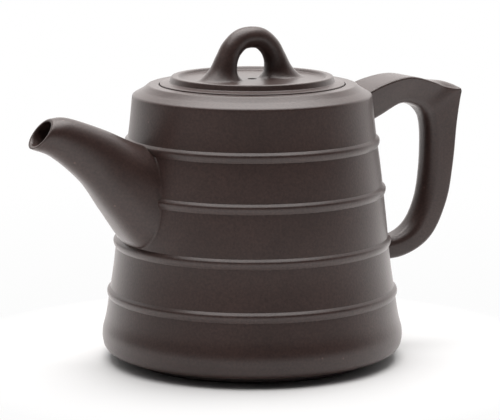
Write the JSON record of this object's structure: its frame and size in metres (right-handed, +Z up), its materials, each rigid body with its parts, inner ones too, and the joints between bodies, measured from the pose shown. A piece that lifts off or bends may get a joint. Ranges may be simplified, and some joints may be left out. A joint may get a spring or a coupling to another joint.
{
  "type": "teapot",
  "caption": "Unglazed dark clay teapot: a banded truncated cone with a short curved spout, a strap handle with a pointed corner and a lift-off lid with a bridge knob.",
  "frame": {"origin": "on the table under the middle of the body", "axes": "+Z up, +X towards the handle, -X towards the spout"},
  "size_m": [0.1435, 0.0886, 0.0976],
  "materials": {
    "clay_body": "matte",
    "clay_top": "satin"
  },
  "bodies": {
    "pot": {"foot_ring": "clay_body", "base_plate": "clay_body", "body_wall": "clay_body", "band_top": "clay_body", "band_upper": "clay_body", "band_lower": "clay_body", "band_bottom": "clay_body", "shoulder_plate": "clay_top", "mouth_ring": "clay_top", "spout": "clay_body", "handle": "clay_body"},
    "lid": {"lid_plate": "clay_top", "lid_dish": "clay_top", "lid_collar": "clay_body", "lid_knob": "clay_top"}
  },
  "joints": [
    {"name": "lid_lift", "type": "slide", "parent": "pot", "child": "lid", "axis": [0, 0, 1], "range_m": [0, 0.05]}
  ]
}
